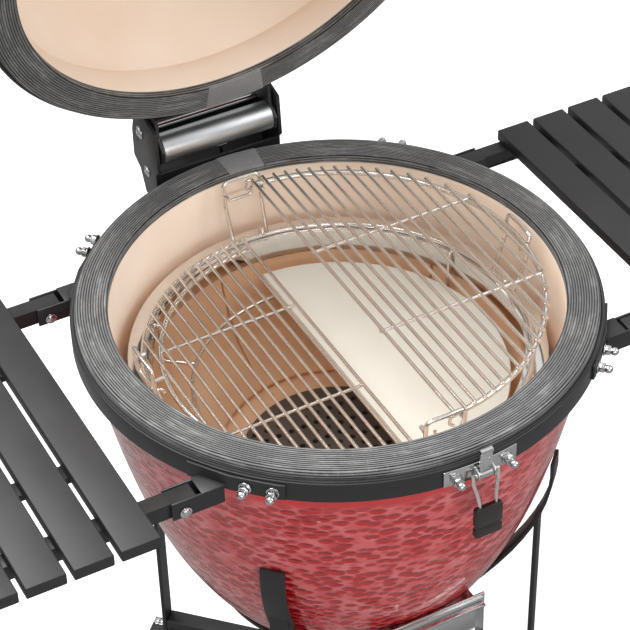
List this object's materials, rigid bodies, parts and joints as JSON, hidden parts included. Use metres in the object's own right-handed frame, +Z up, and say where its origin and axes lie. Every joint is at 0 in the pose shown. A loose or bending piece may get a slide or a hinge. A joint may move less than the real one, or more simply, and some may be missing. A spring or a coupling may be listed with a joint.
{
  "type": "kamado ceramic grill",
  "caption": "Open ceramic kamado grill on a caster cart, with a sprung lid, firebox, split wire grates at two heights, heat deflector, ash drawer, latch and fold-down slatted shelves.",
  "frame": {"origin": "on the floor, under the middle of the whole grill's bounding box with the lid open and the shelves out", "axes": "+Z up, +X towards the right-hand shelf, -Y to the front where the latch and ash drawer are"},
  "size_m": [1.398, 1.0066, 1.7355],
  "materials": {
    "glazed_ceramic": "glossy red glaze over a dimpled surface, bare bisque inside",
    "bisque": "unglazed fired clay, warm beige to orange",
    "cream_ceramic": "unglazed cream ceramic, fine matt",
    "gasket": "woven grey high-temperature mesh, ribbed along its length",
    "black_paint": "satin black powder coat",
    "black_aluminium": "satin black powder coat on aluminium",
    "stainless": "polished stainless wire and sheet",
    "brushed": "stainless brushed along its length",
    "iron": "raw grey cast iron, rough",
    "tyre": "black rubber tread on a dark grey hub",
    "silicone": "smooth black heat-proof grip"
  },
  "bodies": {
    "base": {"ceramic_base": "glazed_ceramic", "base_gasket": "gasket", "base_band": "black_paint", "firebox_panel_1": "bisque", "firebox_panel_2": "bisque", "firebox_panel_3": "bisque", "firebox_panel_4": "bisque", "firebox_panel_5": "bisque", "firebox_floor": "bisque", "firebox_band": "stainless", "charcoal_grate": "iron", "deflector_rack": "stainless", "draft_frame": "stainless", "latch_plate": "stainless", "shelf_bracket_right_front": "black_paint", "shelf_bracket_right_rear": "black_paint", "shelf_bracket_left_front": "black_paint", "shelf_bracket_left_rear": "black_paint", "hinge_base_bracket": "black_paint", "hinge_pin": "stainless", "cart_leg_front_right": "black_paint", "cart_leg_rear_right": "black_paint", "cart_leg_rear_left": "black_paint", "cart_leg_front_left": "black_paint", "cart_ring": "black_paint", "cart_cross": "black_paint"},
    "lid": {"ceramic_lid": "glazed_ceramic", "lid_gasket": "gasket", "lid_band": "black_paint", "lid_handle": "black_aluminium", "thermometer_body": "stainless", "vent_base": "black_aluminium", "hinge_lid_bracket": "black_paint", "spring_tube": "brushed", "latch_keeper": "stainless"},
    "needle": {"thermometer_needle": "black_paint"},
    "vent_disc": {"vent_disc": "black_aluminium"},
    "vent_cap": {"vent_cap": "black_paint"},
    "latch_hook": {"latch_hook": "stainless"},
    "latch_handle": {"latch_handle": "silicone"},
    "ash_drawer": {"ash_drawer": "stainless"},
    "draft_door": {"draft_door": "stainless"},
    "cooking_rack": {"cooking_rack": "stainless"},
    "upper_grate": {"upper_half_grate": "stainless"},
    "lower_grate": {"lower_half_grate": "stainless"},
    "deflector": {"heat_deflector": "cream_ceramic"},
    "right_shelf": {"shelf_arm_right_front": "black_paint", "shelf_arm_right_rear": "black_paint", "shelf_slats_right": "black_aluminium"},
    "left_shelf": {"shelf_arm_left_front": "black_paint", "shelf_arm_left_rear": "black_paint", "shelf_slats_left": "black_aluminium"},
    "caster_front_right": {"caster_fork_front_right": "black_paint"},
    "wheel_front_right": {"caster_wheel_front_right": "tyre"},
    "caster_rear_right": {"caster_fork_rear_right": "black_paint"},
    "wheel_rear_right": {"caster_wheel_rear_right": "tyre"},
    "caster_rear_left": {"caster_fork_rear_left": "black_paint"},
    "wheel_rear_left": {"caster_wheel_rear_left": "tyre"},
    "caster_front_left": {"caster_fork_front_left": "black_paint"},
    "wheel_front_left": {"caster_wheel_front_left": "tyre"}
  },
  "joints": [
    {"name": "lid_hinge", "type": "hinge", "parent": "base", "child": "lid", "pos_m": [0, 0.29575, 0.922], "axis": [-1, 0, 0], "range_deg": [-74.5, 0], "stiffness_Nm_per_rad": 85, "springref_deg": 11.46},
    {"name": "latch_hook_tilt", "type": "hinge", "parent": "base", "child": "latch_hook", "pos_m": [0.008, -0.48925, 0.847], "axis": [1, 0, 0], "range_deg": [0, 25], "stiffness_Nm_per_rad": 0.05, "springref_deg": -17.19},
    {"name": "latch_handle_swing", "type": "hinge", "parent": "base", "child": "latch_handle", "pos_m": [0.008, -0.48925, 0.847], "axis": [-1, 0, 0], "range_deg": [0, 100]},
    {"name": "right_shelf_fold", "type": "hinge", "parent": "base", "child": "right_shelf", "pos_m": [0.34, -0.11625, 0.825], "axis": [0, 1, 0], "range_deg": [0, 90]},
    {"name": "left_shelf_fold", "type": "hinge", "parent": "base", "child": "left_shelf", "pos_m": [-0.34, -0.11625, 0.825], "axis": [0, -1, 0], "range_deg": [0, 90]},
    {"name": "ash_drawer_slide", "type": "slide", "parent": "base", "child": "ash_drawer", "axis": [0, -1, 0], "range_m": [0, 0.2]},
    {"name": "draft_door_slide", "type": "slide", "parent": "ash_drawer", "child": "draft_door", "axis": [1, 0, 0], "range_m": [0, 0.07]},
    {"name": "cooking_rack_lift", "type": "slide", "parent": "base", "child": "cooking_rack", "axis": [0, 0, 1], "range_m": [0, 0.15]},
    {"name": "upper_grate_lift", "type": "slide", "parent": "cooking_rack", "child": "upper_grate", "axis": [0, 0, 1], "range_m": [0, 0.12]},
    {"name": "lower_grate_lift", "type": "slide", "parent": "cooking_rack", "child": "lower_grate", "axis": [0, 0, 1], "range_m": [0, 0.12]},
    {"name": "deflector_lift", "type": "slide", "parent": "base", "child": "deflector", "axis": [0, 0, 1], "range_m": [0, 0.1]},
    {"name": "vent_disc_turn", "type": "hinge", "parent": "lid", "child": "vent_disc", "pos_m": [0, 0.45835, 1.39464], "axis": [0, 0.9636, 0.2672], "range_deg": [0, 45]},
    {"name": "vent_cap_tilt", "type": "hinge", "parent": "lid", "child": "vent_cap", "pos_m": [0, 0.49587, 1.3241], "axis": [-1, 0, 0], "range_deg": [0, 70]},
    {"name": "thermometer_needle_turn", "type": "hinge", "parent": "lid", "child": "needle", "pos_m": [0, 0.22026, 1.65447], "axis": [0, 0.2464, 0.9692], "range_deg": [0, 240], "stiffness_Nm_per_rad": 0.003},
    {"name": "caster_swivel_front_right", "type": "hinge", "parent": "base", "child": "caster_front_right", "pos_m": [0.20506, -0.32131, 0.09], "axis": [0, 0, 1], "continuous": true},
    {"name": "wheel_spin_front_right", "type": "hinge", "parent": "caster_front_right", "child": "wheel_front_right", "pos_m": [0.20506, -0.34331, 0.038], "axis": [1, 0, 0], "continuous": true},
    {"name": "caster_swivel_rear_right", "type": "hinge", "parent": "base", "child": "caster_rear_right", "pos_m": [0.20506, 0.08881, 0.09], "axis": [0, 0, 1], "continuous": true},
    {"name": "wheel_spin_rear_right", "type": "hinge", "parent": "caster_rear_right", "child": "wheel_rear_right", "pos_m": [0.20506, 0.06681, 0.038], "axis": [1, 0, 0], "continuous": true},
    {"name": "caster_swivel_rear_left", "type": "hinge", "parent": "base", "child": "caster_rear_left", "pos_m": [-0.20506, 0.08881, 0.09], "axis": [0, 0, 1], "continuous": true},
    {"name": "wheel_spin_rear_left", "type": "hinge", "parent": "caster_rear_left", "child": "wheel_rear_left", "pos_m": [-0.20506, 0.06681, 0.038], "axis": [1, 0, 0], "continuous": true},
    {"name": "caster_swivel_front_left", "type": "hinge", "parent": "base", "child": "caster_front_left", "pos_m": [-0.20506, -0.32131, 0.09], "axis": [0, 0, 1], "continuous": true},
    {"name": "wheel_spin_front_left", "type": "hinge", "parent": "caster_front_left", "child": "wheel_front_left", "pos_m": [-0.20506, -0.34331, 0.038], "axis": [1, 0, 0], "continuous": true}
  ]
}
